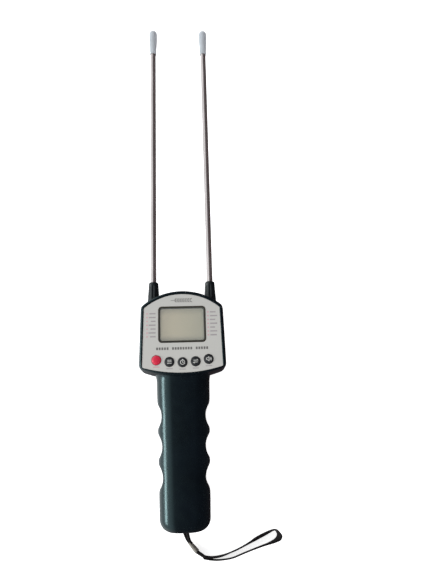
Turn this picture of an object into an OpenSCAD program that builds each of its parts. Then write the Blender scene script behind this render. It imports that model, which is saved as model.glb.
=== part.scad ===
// Twin-probe grain moisture meter, lying on its back.
// X is to the right, Y runs from the handle's end to the probe tips, Z is up out of the face.
// Lengths along the meter are counted from the handle's end, and from_end() puts them in place.

/* [Body] */
// Length from the handle's end to the tips of the probe caps
total_l = 460; // [450:1:475]
// Depth from the back to the rim around the face
body_d = 36; // [35:0.5:37]
// Thickness of the shell walls
wall = 2.4; // [2.2:0.1:2.6]

/* [Head] */
// Distance from the handle's end to the lowest point of the head
head_start = 117.5; // [117:0.5:118]
// Distance from the handle's end to the highest point of the head
head_end = 189.5; // [189:0.5:190]
// Width of the head at its lower edge
head_low_w = 72.6; // [72.4:0.2:72.8]
// Width of the head at its upper edge
head_high_w = 68.8; // [68.6:0.2:69]
// Radius of the head's upper arc
head_top_r = 52; // [50:1:54]
// Radius of the head's lower arc
head_low_r = 95; // [90:1:100]
// Radius of the head's corners
head_corner_r = 5.5; // [5:0.5:6]

/* [Handle] */
// Width of the handle where it leaves the head
handle_high_w = 44.2; // [43.8:0.2:44.6]
// Width of the handle at its end
handle_low_w = 39.8; // [39.4:0.2:40.2]
// Depth of the handle
handle_d = 33; // [32:0.5:34]
// Radius of the corners at the handle's end
handle_corner_r = 9.5; // [8:0.5:11]
// Distance from the handle's end to the first finger scallop
scallop_start = 40; // [39:0.5:41]
// Distance between two finger scallops
scallop_pitch = 23.5; // [23:0.5:24]
// Radius of a finger scallop
scallop_r = 14; // [13:0.5:15]
// Depth of a finger scallop
scallop_depth = 3.6; // [3:0.1:3.8]

/* [Face] */
// Thickness of the silver plate
plate_t = 0.7; // [0.5:0.1:0.8]
// Width of the display window
window_w = 36.5; // [35:0.5:37]
// Height of the display window
window_h = 27.5; // [27:0.5:28]
// Distance from the handle's end to the middle of the window
window_mid = 160.2; // [160:0.1:160.5]
// Width of the dark line around the window
frame_band = 1.3; // [1:0.1:1.5]

/* [Keys] */
// Diameter of a key
key_dia = 7.6; // [7:0.1:7.8]
// Distance from the handle's end to the middle key
key_mid = 129; // [128.5:0.1:129.5]
// Distance between two keys across the face
key_pitch = 10.6; // [10.4:0.1:10.8]
// Radius of the arc that the keys lie on
key_arc_r = 106; // [100:1:120]
// Travel of a key
key_travel = 0.8; // [0.5:0.1:0.9]

/* [Probes] */
// Distance between the two rods' centre lines
rod_pitch = 49; // [48:0.5:50]
// Diameter of a rod
rod_dia = 5; // [4.6:0.1:5]
// Length of a tip cap
cap_l = 27; // [26:1:30]
// Diameter of a tip cap at its widest
cap_dia = 7.8; // [7.4:0.1:8]
// Distance from the handle's end to the top of a boot
boot_end = 200.6; // [198:0.2:204]

/* [Battery] */
// Diameter of a cell
cell_dia = 10.5; // [10.2:0.1:10.5]
// Length of a cell with its button
cell_l = 44.5; // [44:0.1:44.5]

/* [Strap] */
// Width of the flat webbing
webbing_w = 8; // [6:0.5:8]
// Thickness of the flat webbing
webbing_t = 1.2; // [1:0.1:1.4]
// Diameter of the string
string_dia = 2.3; // [2:0.1:2.4]

/* [Hidden] */

shell_color = "#16292b";
eps = 0.02;
big = 400;

// Depths, all counted up from the back
split_z = body_d / 2;
rod_z = split_z;
floor_z = body_d - 1;
ceiling_z = floor_z - 2;
plate_top = floor_z + plate_t;
key_flange_z = ceiling_z - 1.4;
key_flange_t = 1.1;
board_top = body_d - 10;
board_t = 1.6;
board_low = board_top - board_t;

// Outline of the silver plate, which follows the head a few millimetres in
plate_low_w = head_low_w - 7;
plate_high_w = head_high_w - 6.8;
plate_start = head_start + 3.2;
plate_end = head_end - 3.8;

// Keys, from left to right
key_gap = 0.25;
function key_pos(i) = [i * key_pitch, key_mid + pow(i * key_pitch, 2) / (2 * key_arc_r)];

// Screws that close the case: x and distance from the handle's end
case_points = [[0, 11], [0, head_start], [0, head_end - 7], [-28, 150], [28, 150]];
case_bore_r = 2.8;
case_bore_l = 10;
case_screw_r = 1.3;
case_screw_end = split_z + 8;

// Screws that hold the board
board_points = [[-24.5, 138.5], [24.5, 138.5], [-24.5, 157], [24.5, 157]];
board_screw_r = 1;

// Probe rods
rod_start = 163;
rod_wall = 0.8;
rod_x = rod_pitch / 2;
cap_start = total_l - cap_l;
rod_end = total_l - 4.6;
cap_fit = 0.06;
cap_taper = 0.7;
boot_fit = 0.05;
boot_low_r = 5.2;
boot_high_r = 4.2;

// Battery bay
bay_w = 22.4;
bay_start = 16.5;
bay_l = 95.5;
bay_wall = 1.4;
door_t = 1.8;
door_gap = 0.15;
door_lip = 1.2;
cell_x = 5.35;
cell_z = 8.2;
bay_top = cell_z + cell_dia / 2 + 0.35;

// Strap: two round holes in the handle's end let the string through, the right-hand one higher
hole_x = 1.3;
hole_z = 10;
hole_rise = 0.9;
hole_r = 1.27;

// Route of the string's middle line, from the sleeve round the moulded bar and back: x, length, z
string_route = [
    [3.5, -12.8, 2.5], [2.1, -11, 2.7], [0.9, -9, 3.3], [-0.1, -6.6, 4.9], [-0.9, -4, 7.2],
    [-1.25, -2.1, 8.7], [-1.3, -0.2, 9.1], [-1.3, 1.4, 9.1], [-1.3, 3.2, 9.1], [-1.1, 4.5, 9.3], [0, 5.2, 10],
    [1.1, 4.5, 10.7], [1.3, 3.2, 10.9], [1.3, 1.4, 10.9], [1.3, -0.2, 10.9], [1.4, -2.1, 10.6],
    [1.6, -4, 9.4], [2, -6.6, 7.3], [2.6, -9, 5.5], [3.35, -10.7, 4.8], [4.5, -12.1, 4.7]
];

// Ends of the sleeve and of the stitched block that follows it: x, length, z
sleeve_low = [2.8, -11.4, 3.6];
sleeve_high = [8.6, -18, 3.9];
joint_low = [9.1, -18.6, 4.2];
joint_high = [15.8, -23.1, 4.2];

// Route of the webbing's middle line, from the joint round the loop and back: x, length, z, lean.
// Lean is 90 where the webbing stands on its edge. The outgoing strand leans out of the loop above
// 90, and the returning strand leans into it below 90.
webbing_route = [
    [14, -21.9, 4.1, 96], [16.6, -22.4, 4.1, 96], [19.4, -22.8, 4.1, 96], [23.2, -22.8, 4.1, 96],
    [27.2, -22.3, 4.1, 97], [31.2, -21.3, 4.1, 100], [35.2, -20, 4.1, 103], [39.3, -18.6, 4.1, 104],
    [43, -17.1, 4.1, 104], [47, -15.3, 4.1, 105], [51.6, -13.1, 4.1, 109], [55.7, -11, 4.1, 116],
    [60, -9, 4.1, 117], [64.8, -7, 4.1, 115], [68.2, -5.6, 4.1, 110], [70.8, -4.8, 4.1, 105],
    [72.9, -4.9, 4.1, 100], [74.6, -6.8, 4.1, 104], [75.6, -9, 4, 112], [74.6, -11.1, 4, 108],
    [72.4, -12.5, 4.1, 97], [69.2, -13.8, 4.1, 90], [65, -15.1, 4.1, 83], [60, -16.5, 4.1, 80],
    [55.4, -17.9, 4.1, 79], [51, -19.3, 4.1, 78], [46.4, -20.8, 4.1, 78], [41.5, -22.5, 4.1, 78],
    [37.5, -23.8, 4.1, 78], [33, -24.6, 4.1, 78], [27.1, -25, 4.1, 79], [23.1, -24.9, 4.1, 80],
    [19.2, -24.4, 4.1, 82], [16, -23.6, 4.1, 86], [13.6, -22.8, 4.1, 90]
];

// Routes of the right-hand wires inside the case; the left-hand ones mirror them
battery_lead_route = [
    [7, 110, 15.8], [7.2, 112, 16.7], [7.5, 116, 18], [7.5, 121, 20], [6.6, 126, 22.4], [5.6, 129, 23.8]
];
probe_lead_route = [
    [19.7, 167, 19], [18.4, 166.4, 19.4], [17, 164.5, 20.6], [15.6, 161, 22.2], [15, 158, 23.8]
];
wire_r = 0.6;

// ---- Helpers ----

module from_end() {
    translate([0, -total_l / 2, 0]) children();
}

module both_sides() {
    children();
    mirror([1, 0, 0]) children();
}

// Turns a profile drawn as radius and length about the Y axis at a rod's height
module along_rod() {
    translate([0, 0, rod_z]) rotate([-90, 0, 0]) rotate([0, 0, 180]) rotate_extrude($fn = 48) children();
}

module round_rect(w, h, r) {
    hull() for (x = [-1, 1], y = [-1, 1])
        translate([x * (w / 2 - r), y * (h / 2 - r)]) circle(r, $fn = 32);
}

module screw(head_r, head_h, shank_r, shank_l) {
    cylinder(h = head_h, r = head_r, $fn = 32);
    translate([0, 0, head_h - eps]) cylinder(h = shank_l + eps, r = shank_r, $fn = 32);
}

function unit(v) = v / norm(v);
function curve(a, b, c, d, t) = 0.5 * (2 * b + (c - a) * t + (2 * a - 5 * b + 4 * c - d) * t * t
    + (3 * b - a - 3 * c + d) * t * t * t);
function smooth(p, steps) = concat([for (i = [0 : len(p) - 2], k = [0 : steps - 1])
    curve(p[max(i - 1, 0)], p[i], p[i + 1], p[min(i + 2, len(p) - 1)], k / steps)], [p[len(p) - 1]]);
function place(v) = [v[0], v[1], v[2]];
function heading(p, i) = unit(place(p[min(i + 1, len(p) - 1)]) - place(p[max(i - 1, 0)]));
function ring(p, i, shape, lean) = let(
    t = heading(p, i),
    side = unit(cross(t, [0, 0, 1])),
    up = cross(side, t),
    wide = side * cos(lean) + up * sin(lean),
    thin = cross(t, wide)
) [for (s = shape) place(p[i]) + wide * s[0] + thin * s[1]];

// Sweeps a small outline along a route; a route's fourth number is its lean
module sweep(p, shape) {
    n = len(shape);
    last = (len(p) - 1) * n;
    points = [for (i = [0 : len(p) - 1]) each ring(p, i, shape, len(p[i]) > 3 ? p[i][3] : 90)];
    sides = [for (i = [0 : len(p) - 2], k = [0 : n - 1])
        [i * n + k, i * n + (k + 1) % n, (i + 1) * n + (k + 1) % n, (i + 1) * n + k]];
    first_end = [for (k = [n - 1 : -1 : 0]) k];
    last_end = [for (k = [0 : n - 1]) last + k];
    polyhedron(points, concat(sides, [first_end], [last_end]), convexity = 8);
}

function disc(r, n) = [for (k = [0 : n - 1]) [r * cos(k * 360 / n), -r * sin(k * 360 / n)]];

// ---- Case outlines ----

module arc_outline(start, end, low_w, high_w, low_r, high_r) {
    intersection() {
        polygon([[-low_w / 2, start], [low_w / 2, start], [high_w / 2, end], [-high_w / 2, end]]);
        translate([0, start + low_r]) circle(low_r, $fn = 220);
        translate([0, end - high_r]) circle(high_r, $fn = 120);
    }
}

module head_outline(inset) {
    offset(r = head_corner_r, $fn = 32) offset(delta = -head_corner_r - inset)
        arc_outline(head_start, head_end, head_low_w, head_high_w, head_low_r, head_top_r);
}

module plate_outline(inset) {
    offset(r = 1.2, $fn = 24) offset(delta = -1.2 - inset)
        arc_outline(plate_start, plate_end, plate_low_w, plate_high_w, 115, 48);
}

module head_stack(levels) {
    hull() for (level = levels)
        translate([0, 0, level[0]]) linear_extrude(eps) head_outline(level[1]);
}

module head_body() {
    head_stack([[0, 3], [2.5, 0.9], [8, 0.1], [body_d - 11, 0], [body_d - 3, 0.7], [body_d - 1, 1.5],
        [body_d - eps, 2.6]]);
}

module head_hollow() {
    head_stack([[wall, 4.6], [wall + 2, wall + 0.8], [ceiling_z - 4, wall + 0.6], [ceiling_z - eps, 4.4]]);
}

module handle_plan(inset) {
    high = handle_high_w / 2 - inset;
    low = handle_low_w / 2 - inset;
    corner_x = handle_low_w / 2 - handle_corner_r;
    difference() {
        union() {
            polygon([[-high, head_start + 10], [-low, handle_corner_r], [-corner_x, inset],
                [corner_x, inset], [low, handle_corner_r], [high, head_start + 10]]);
            for (side = [-1, 1])
                translate([side * corner_x, handle_corner_r]) circle(handle_corner_r - inset, $fn = 48);
        }
        for (i = [0 : 2], side = [-1, 1]) {
            at = scallop_start + i * scallop_pitch;
            edge = low + inset + (high - low) * at / head_start;
            translate([side * (edge + scallop_r - scallop_depth), at]) circle(scallop_r + inset, $fn = 96);
        }
    }
}

// Cross-section of the handle: flat back, rounded flanks and a rounder front
module handle_section(inset) {
    half = handle_high_w / 2 - inset;
    back_r = 8 - inset;
    front_r = 13 - inset;
    top = handle_d - inset;
    polygon([[-half, inset + back_r], [back_r - half, inset], [half - back_r, inset], [half, inset + back_r],
        [half, top - front_r], [half - front_r, top], [front_r - half, top], [-half, top - front_r]]);
    for (side = [-1, 1]) {
        translate([side * (half - back_r), inset + back_r]) circle(back_r, $fn = 48);
        translate([side * (half - front_r), top - front_r]) circle(front_r, $fn = 48);
    }
}

// Side view of the handle, with its rounded end
module handle_profile(inset) {
    top = handle_d - inset;
    back_r = 4;
    front_r = 6;
    polygon([[inset, inset + back_r], [inset + back_r, inset], [head_start + 10, inset],
        [head_start + 10, top], [inset + front_r, top], [inset, top - front_r]]);
    translate([inset + back_r, inset + back_r]) circle(back_r, $fn = 48);
    translate([inset + front_r, top - front_r]) circle(front_r, $fn = 48);
}

module handle_body(inset) {
    intersection() {
        linear_extrude(big) handle_plan(inset);
        translate([0, big / 2, 0]) rotate([90, 0, 0]) linear_extrude(big) handle_section(inset);
        rotate([90, 0, 90]) translate([0, 0, -big / 2]) linear_extrude(big) handle_profile(inset);
    }
}

module above_split() {
    translate([-big / 2, -big / 2, split_z]) cube(big);
}

module below_split() {
    translate([-big / 2, -big / 2, split_z - big]) cube(big);
}

module boot_holes() {
    for (x = [-rod_x, rod_x])
        translate([x, rod_start + 7, rod_z]) rotate([-90, 0, 0])
            cylinder(h = 26, r = boot_low_r + boot_fit, $fn = 48);
}

module string_holes() {
    for (side = [-1, 1])
        translate([side * hole_x, -1, hole_z + side * hole_rise]) rotate([-90, 0, 0])
            cylinder(h = wall + 3, r = hole_r, $fn = 32);
}

// ---- Case ----

module front_housing() {
    color(shell_color) from_end() difference() {
        union() {
            difference() {
                intersection() {
                    union() {
                        head_body();
                        handle_body(0);
                    }
                    above_split();
                }
                head_hollow();
                handle_body(wall);
            }
            for (p = case_points)
                translate([p[0], p[1], split_z]) cylinder(h = 11, r = 3, $fn = 48);
            intersection() {
                head_hollow();
                for (p = concat(case_points, board_points))
                    translate([p[0], p[1], board_top]) cylinder(h = 9, r = 2.4, $fn = 48);
            }
            translate([-2, 7, split_z + 10]) cube([4, 8, 4]);
            translate([-2, head_start - 4, split_z + 10]) cube([4, 7, 4]);
        }
        translate([0, 0, floor_z]) linear_extrude(5) plate_outline(-0.1);
        translate([0, window_mid, ceiling_z - 1]) linear_extrude(5)
            round_rect(window_w - 0.8, window_h - 0.8, 2);
        for (i = [-2 : 2])
            translate([key_pos(i)[0], key_pos(i)[1], ceiling_z - 1])
                cylinder(h = 5, r = key_dia / 2 + key_gap, $fn = 48);
        for (p = case_points)
            translate([p[0], p[1], split_z - 1]) cylinder(h = 10, r = case_screw_r + 0.05, $fn = 32);
        for (p = board_points)
            translate([p[0], p[1], board_top - 1]) cylinder(h = 6, r = board_screw_r + 0.05, $fn = 32);
        boot_holes();
    }
}

module rear_housing() {
    color(shell_color) from_end() difference() {
        union() {
            difference() {
                intersection() {
                    union() {
                        head_body();
                        handle_body(0);
                    }
                    below_split();
                }
                head_hollow();
                handle_body(wall);
            }
            for (p = case_points)
                translate([p[0], p[1], 0.5]) cylinder(h = split_z - 0.5, r = 4.2, $fn = 48);
            translate([-bay_w / 2 - bay_wall, bay_start - bay_wall, 1])
                cube([bay_w + 2 * bay_wall, bay_l + 2 * bay_wall, bay_top + bay_wall - 1]);
            for (x = [-rod_x, rod_x])
                translate([x - 3.5, rod_start + 2, 1]) cube([7, 6, rod_z - 5.5]);
        }
        translate([-bay_w / 2, bay_start, -1]) cube([bay_w, bay_l, bay_top + 1]);
        translate([-bay_w / 2 - door_lip, bay_start - door_lip, -1])
            cube([bay_w + 2 * door_lip, bay_l + 2 * door_lip, door_t + 1 + eps]);
        for (p = case_points) {
            translate([p[0], p[1], -1]) cylinder(h = case_bore_l + 1, r = case_bore_r, $fn = 48);
            translate([p[0], p[1], 0]) cylinder(h = split_z + 1, r = case_screw_r + 0.2, $fn = 32);
        }
        boot_holes();
        string_holes();
    }
}

module battery_door() {
    w = bay_w + 2 * (door_lip - door_gap);
    l = bay_l + 2 * (door_lip - door_gap);
    color(shell_color) from_end() translate([0, bay_start + bay_l / 2, 0]) {
        difference() {
            linear_extrude(door_t) round_rect(w, l, 1);
            for (i = [0 : 3])
                translate([-5, l / 2 - 8 - i * 2, -1]) cube([10, 1, 1.5]);
        }
        translate([-4, bay_l / 2 - 1.3, door_t - eps]) cube([8, 1, 2]);
    }
}

module door_foam() {
    color("#3a3a3c") from_end() for (at = [40, 88])
        translate([-9, at - 8, door_t]) cube([18, 16, cell_z - cell_dia / 2 - door_t - 0.05]);
}

// ---- Face ----

module face_plate() {
    color("silver") from_end() difference() {
        translate([0, 0, floor_z]) linear_extrude(plate_t) plate_outline(0);
        translate([0, window_mid, 0]) linear_extrude(big)
            round_rect(window_w + 2 * frame_band + 0.1, window_h + 2 * frame_band + 0.1, 3);
        for (i = [-2 : 2])
            translate([key_pos(i)[0], key_pos(i)[1], 0])
                cylinder(h = big, r = key_dia / 2 + key_gap, $fn = 48);
    }
}

module display_frame() {
    color("#33302a") from_end() translate([0, window_mid, floor_z]) linear_extrude(plate_t + 0.2)
        difference() {
            round_rect(window_w + 2 * frame_band, window_h + 2 * frame_band, 3);
            round_rect(window_w, window_h, 2);
        }
}

module display_lens() {
    color([0.8, 0.85, 0.85, 0.4]) from_end() translate([0, window_mid, floor_z])
        linear_extrude(plate_t) round_rect(window_w - 0.1, window_h - 0.1, 2);
}

module lcd_panel() {
    color("#a9a893") from_end() translate([-19, window_mid - 15.5, ceiling_z - 2.2]) cube([38, 31, 2]);
}

module lcd_holder() {
    color("#e4e2da") from_end() translate([0, window_mid, board_top]) difference() {
        translate([-21, -17.5, 0]) cube([42, 35, ceiling_z - board_top - 0.1]);
        translate([-18, -14.25, -1]) cube([36, 28.5, 10]);
        translate([-19.15, -15.65, ceiling_z - board_top - 2.2]) cube([38.3, 31.3, 10]);
    }
}

module contact_strips() {
    color("#2b2b2d") from_end() for (side = [-1, 1])
        translate([-17, window_mid + side * 12.8 - 1, board_top]) cube([34, 2, ceiling_z - board_top - 2.2]);
}

// ---- Board ----

module main_board() {
    color("#1d6b45") from_end() difference() {
        translate([0, 0, board_low]) linear_extrude(board_t)
            polygon([[-27.5, 125.5], [27.5, 125.5], [27.5, 171.5], [20.5, 178.5], [-20.5, 178.5],
                [-27.5, 171.5]]);
        for (x = [-28, 28])
            translate([x, 150, 0]) cylinder(h = big, r = 3.4, $fn = 48);
        for (p = board_points)
            translate([p[0], p[1], 0]) cylinder(h = big, r = board_screw_r + 0.15, $fn = 32);
    }
}

module controller_chip() {
    color("#1c1c1e") from_end() translate([-6, window_mid - 6, board_top]) cube([12, 12, 1.4]);
}

module small_chips() {
    color("#1c1c1e") from_end() {
        translate([-15, 148, board_low - 1.5]) cube([5, 4, 1.5]);
        translate([9, 168, board_low - 1.5]) cube([6, 4, 1.5]);
        translate([-12, 166, board_low - 1.2]) cube([4, 3, 1.2]);
    }
}

module buzzer() {
    color("#222224") from_end() translate([0, 146, board_low - 5.5]) difference() {
        cylinder(h = 5.5, r = 6, $fn = 48);
        translate([0, 0, -1]) cylinder(h = 2, r = 1, $fn = 32);
    }
}

module key_switches() {
    color("#39393c") from_end() for (i = [-2 : 2])
        translate([key_pos(i)[0], key_pos(i)[1], board_top]) difference() {
            translate([-3, -3, 0]) cube([6, 6, 3.6]);
            translate([0, 0, 1.4]) cylinder(h = 3, r = 1.8, $fn = 32);
        }
}

// ---- Keys ----

module key(i, dome) {
    r = key_dia / 2;
    top = plate_top + 0.5;
    from_end() translate([key_pos(i)[0], key_pos(i)[1], 0]) rotate_extrude($fn = 64)
        polygon(concat(
            [[0, key_flange_z], [r + 0.9, key_flange_z], [r + 0.9, key_flange_z + key_flange_t],
                [r, key_flange_z + key_flange_t]],
            [for (a = [0 : 15 : 90]) [r * cos(a * 0.999), top + dome * sin(a)]],
            [[0, top + dome]]));
}

module plunger(i) {
    low = board_top + 1.8 + key_travel;
    color("#8f8f92") from_end() translate([key_pos(i)[0], key_pos(i)[1], low])
        cylinder(h = key_flange_z - low, r = 1.7, $fn = 32);
}

module power_key() {
    color("#d0314a") key(-2, 0.9);
}

module menu_key() {
    color("#222427") key(-1, 0.4);
}

module timer_key() {
    color("#222427") key(0, 0.4);
}

module select_key() {
    color("#222427") key(1, 0.4);
}

module sound_key() {
    color("#222427") key(2, 0.4);
}

module power_plunger() {
    plunger(-2);
}

module menu_plunger() {
    plunger(-1);
}

module timer_plunger() {
    plunger(0);
}

module select_plunger() {
    plunger(1);
}

module sound_plunger() {
    plunger(2);
}

// ---- Probes ----

// Steel tube, closed by a long pointed tip inside the cap
module probe_rod() {
    r = rod_dia / 2;
    color("#b9b4ae") from_end() translate([rod_x, 0, 0]) along_rod()
        polygon([[r - rod_wall, rod_start], [r, rod_start], [r, rod_end - 13.4], [0.5, rod_end - 0.4],
            [0, rod_end], [0, rod_end - 18.4], [r - rod_wall, rod_end - 21.4]]);
}

module probe_rod_left() {
    mirror([1, 0, 0]) probe_rod();
}

module probe_rod_right() {
    probe_rod();
}

module probe_boot() {
    bore = rod_dia / 2 + 0.02;
    color("#1b2b2d") from_end() translate([rod_x, 0, 0]) along_rod()
        polygon([[bore, rod_start + 10], [boot_low_r + 0.8, rod_start + 10],
            [boot_low_r + 0.8, rod_start + 12], [boot_low_r, rod_start + 12], [boot_low_r, head_end - 6],
            [boot_high_r, boot_end - 1.2], [boot_high_r - 0.4, boot_end - 0.3],
            [boot_high_r - 1.1, boot_end], [bore, boot_end]]);
}

module probe_boot_left() {
    mirror([1, 0, 0]) probe_boot();
}

module probe_boot_right() {
    probe_boot();
}

module probe_cap() {
    r = cap_dia / 2;
    bore = rod_dia / 2 + cap_fit;
    color([0.72, 0.8, 0.84, 0.6]) from_end() translate([rod_x, 0, 0]) along_rod()
        polygon(concat(
            [[bore, cap_start], [r - cap_taper - 0.3, cap_start], [r - cap_taper, cap_start + 0.3]],
            [for (a = [0 : 15 : 90]) [r * cos(a * 0.999), total_l - r + r * sin(a)]],
            [[0, total_l], [0, total_l - 2], [bore - 0.8, total_l - 2], [bore, total_l - 3]]));
}

module probe_cap_left() {
    mirror([1, 0, 0]) probe_cap();
}

module probe_cap_right() {
    probe_cap();
}

module rod_clamp() {
    color("#b8923f") from_end() difference() {
        translate([rod_x - 4.5, rod_start + 1, rod_z - 4.5]) cube([9, 8, 8.5]);
        translate([rod_x, rod_start, rod_z]) rotate([-90, 0, 0])
            cylinder(h = 20, r = rod_dia / 2 + 0.02, $fn = 48);
        translate([rod_x, rod_start + 5, rod_z + 1]) cylinder(h = 5, r = 1.3, $fn = 32);
    }
}

module rod_clamp_left() {
    mirror([1, 0, 0]) rod_clamp();
}

module rod_clamp_right() {
    rod_clamp();
}

module clamp_screws() {
    color("#a9abae") from_end() both_sides()
        translate([rod_x, rod_start + 5, rod_z + 5.2]) mirror([0, 0, 1]) screw(2, 1.2, 1.25, 1.4);
}

// ---- Battery ----

// Start of each row of cells and the side that the row lies on
cell_rows = [[-1, bay_start + 5.5], [1, bay_start + 0.8]];

module cell() {
    rotate([-90, 0, 0]) {
        cylinder(h = cell_l - 1.2, r = cell_dia / 2, $fn = 48);
        cylinder(h = cell_l, r = 1.9, $fn = 32);
    }
}

module battery_cells() {
    color("#7a8a2c") from_end() for (row = cell_rows, i = [0, 1])
        translate([row[0] * cell_x, row[1] + i * (cell_l + 0.05), cell_z])
            if (row[0] < 0) cell();
            else translate([0, cell_l, 0]) rotate([0, 0, 180]) cell();
}

function coil(base_r, top_r, rise, turns, n) = [for (k = [0 : turns * n])
    let(a = k * 360 / n, r = base_r + (top_r - base_r) * k / (turns * n))
    [r * cos(a), r * sin(a), rise * k / (turns * n)]];

module spring() {
    rotate([-90, 0, 0]) sweep(coil(3.6, 2, 3.8, 4, 12), disc(0.35, 6));
}

module battery_springs() {
    color("#b7b9bc") from_end() {
        translate([-cell_x, bay_start + 1.1, cell_z]) spring();
        translate([cell_x, bay_start + bay_l - 1.1, cell_z]) rotate([0, 0, 180]) spring();
    }
}

module battery_plates() {
    color("#b7b9bc") from_end() {
        translate([-10, bay_start + 0.1, 4]) cube([20, 0.5, 8.4]);
        for (x = [-cell_x, cell_x])
            translate([x - 4.3, bay_start + bay_l - 0.6, 4]) cube([8.6, 0.5, 8.4]);
    }
}

module battery_leads() {
    color("#a02020") from_end() both_sides() sweep(smooth(battery_lead_route, 3), disc(wire_r, 8));
}

module probe_leads() {
    color("#2a50a0") from_end() both_sides() sweep(smooth(probe_lead_route, 3), disc(wire_r, 8));
}

// ---- Screws ----

module case_screws() {
    color("#77797c") from_end() for (p = case_points)
        translate([p[0], p[1], case_bore_l - 1.6])
            screw(2.4, 1.6, case_screw_r, case_screw_end - case_bore_l);
}

module board_screws() {
    color("#a9abae") from_end() for (p = board_points)
        translate([p[0], p[1], board_low - 1.2]) screw(1.9, 1.2, board_screw_r, board_t + 3.5);
}

// ---- Strap ----

module strap_string() {
    color("#141416") from_end() sweep(smooth(string_route, 3), disc(string_dia / 2, 8));
}

// Tapered grey sleeve that takes both strands of the string
module strap_sleeve() {
    color("#6e6a64") from_end() hull() {
        translate(sleeve_low) rotate([90, 0, 44]) scale([0.73, 1, 1])
            cylinder(h = 1, r = 2.2, center = true, $fn = 32);
        translate(sleeve_high) rotate([90, 0, 44]) scale([0.64, 1, 1])
            cylinder(h = 1, r = 3.3, center = true, $fn = 32);
    }
}

// Stitched block between the sleeve and the webbing, leaning a little towards the handle
module strap_joint() {
    color("#141416") from_end() hull() {
        translate(joint_low) rotate([-12, 0, 0]) rotate([0, 0, 44]) cube([3, 1, 7.6], center = true);
        translate(joint_high) rotate([-12, 0, 0]) rotate([0, 0, 60]) cube([2.6, 1, 7.6], center = true);
    }
}

module strap_webbing() {
    w = webbing_w / 2;
    t = webbing_t / 2;
    shape = [[w, -t / 2], [w - 0.4, -t], [0.4 - w, -t], [-w, -t / 2], [-w, t / 2], [0.4 - w, t],
        [w - 0.4, t], [w, t / 2]];
    color("#141416") from_end() sweep(smooth(webbing_route, 3), shape);
}

front_housing();
rear_housing();
battery_door();
door_foam();
face_plate();
display_frame();
display_lens();
lcd_panel();
lcd_holder();
contact_strips();
main_board();
controller_chip();
small_chips();
buzzer();
key_switches();
power_key();
menu_key();
timer_key();
select_key();
sound_key();
power_plunger();
menu_plunger();
timer_plunger();
select_plunger();
sound_plunger();
probe_rod_left();
probe_rod_right();
probe_boot_left();
probe_boot_right();
probe_cap_left();
probe_cap_right();
rod_clamp_left();
rod_clamp_right();
clamp_screws();
battery_cells();
battery_springs();
battery_plates();
battery_leads();
probe_leads();
case_screws();
board_screws();
strap_string();
strap_sleeve();
strap_joint();
strap_webbing();
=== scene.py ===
"""Looks of a twin-probe grain moisture meter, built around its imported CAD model.

Shapes are worked out in millimetres: X to the right, lengths from the handle's end towards the
probe tips, Z up out of the face. place() turns such a point into the frame's metres.
"""

import math

import bmesh
import bpy
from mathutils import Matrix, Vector


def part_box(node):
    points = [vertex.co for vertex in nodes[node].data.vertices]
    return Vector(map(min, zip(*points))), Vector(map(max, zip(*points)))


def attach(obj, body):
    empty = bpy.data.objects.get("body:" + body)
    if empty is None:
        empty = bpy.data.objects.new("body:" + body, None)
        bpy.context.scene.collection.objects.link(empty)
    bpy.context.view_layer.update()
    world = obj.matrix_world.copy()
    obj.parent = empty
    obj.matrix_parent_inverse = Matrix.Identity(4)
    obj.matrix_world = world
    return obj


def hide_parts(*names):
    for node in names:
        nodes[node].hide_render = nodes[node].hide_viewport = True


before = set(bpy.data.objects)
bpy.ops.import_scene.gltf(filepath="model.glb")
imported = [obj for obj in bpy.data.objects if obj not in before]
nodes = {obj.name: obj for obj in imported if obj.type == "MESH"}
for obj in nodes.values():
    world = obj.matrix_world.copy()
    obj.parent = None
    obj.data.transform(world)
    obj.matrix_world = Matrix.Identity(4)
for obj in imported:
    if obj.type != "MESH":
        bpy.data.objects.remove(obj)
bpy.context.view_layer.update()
scene = bpy.context.scene

# ---- Sizes, in millimetres ----

MM = 0.001
END_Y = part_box("rear_housing")[0].y


def node_box(node):
    """Lowest and highest corner of a CAD node, with lengths from the handle's end."""
    return [Vector((p.x / MM, (p.y - END_Y) / MM, p.z / MM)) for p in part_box(node)]


PLATE_LOW, PLATE_HIGH = node_box("face_plate")
FLOOR_Z = PLATE_LOW.z
PLATE_TOP = PLATE_HIGH.z
RIM_Z = node_box("front_housing")[1].z
SPLIT_Z = node_box("front_housing")[0].z
CEILING_Z = FLOOR_Z - 2
WALL = 2.4

HEAD_START = PLATE_LOW.y - 3.2
HEAD_END = PLATE_HIGH.y + 3.8
HEAD_LOW_W = 72.6
HEAD_HIGH_W = 68.8
HEAD_TOP_R = 52
HEAD_LOW_R = 95
HEAD_CORNER_R = 5.5

HANDLE_LOW_HALF = 19.9
HANDLE_GAIN = 2.2
HANDLE_TOP = 33
HANDLE_CORNER_R = 9.5
HANDLE_BACK_R = 8
HANDLE_FRONT_R = 13
SCALLOPS = [40, 63.5, 87]
SCALLOP_R = 14
SCALLOP_DEPTH = 3.6
NECK_L = 7
NECK_SIDE = 1.7
NECK_RISE = 1.6

WINDOW_W = 36.5
WINDOW_H = 27.5
WINDOW_MID = 160.2
FRAME_BAND = 1.3

ROD_X = node_box("probe_rod_right")[1].x - 2.5
ROD_R = 2.5
ROD_Z = SPLIT_Z
CASE_POINTS = [(0, 11), (0, HEAD_START), (0, HEAD_END - 7), (-28, 150), (28, 150)]
BOARD_POINTS = [(-24.5, 138.5), (24.5, 138.5), (-24.5, 157), (24.5, 157)]
BORE_R = 2.8
BORE_L = 10
BAY_W = 22.4
BAY_START = 16.5
BAY_L = 95.5
BAY_TOP = 13.8
DOOR_LIP = 1.2
DOOR_T = node_box("battery_door")[0].z + 1.8
STRING_HOLES = [(-1.3, 9.1), (1.3, 10.9)]
HOLE_R = 1.27


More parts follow.
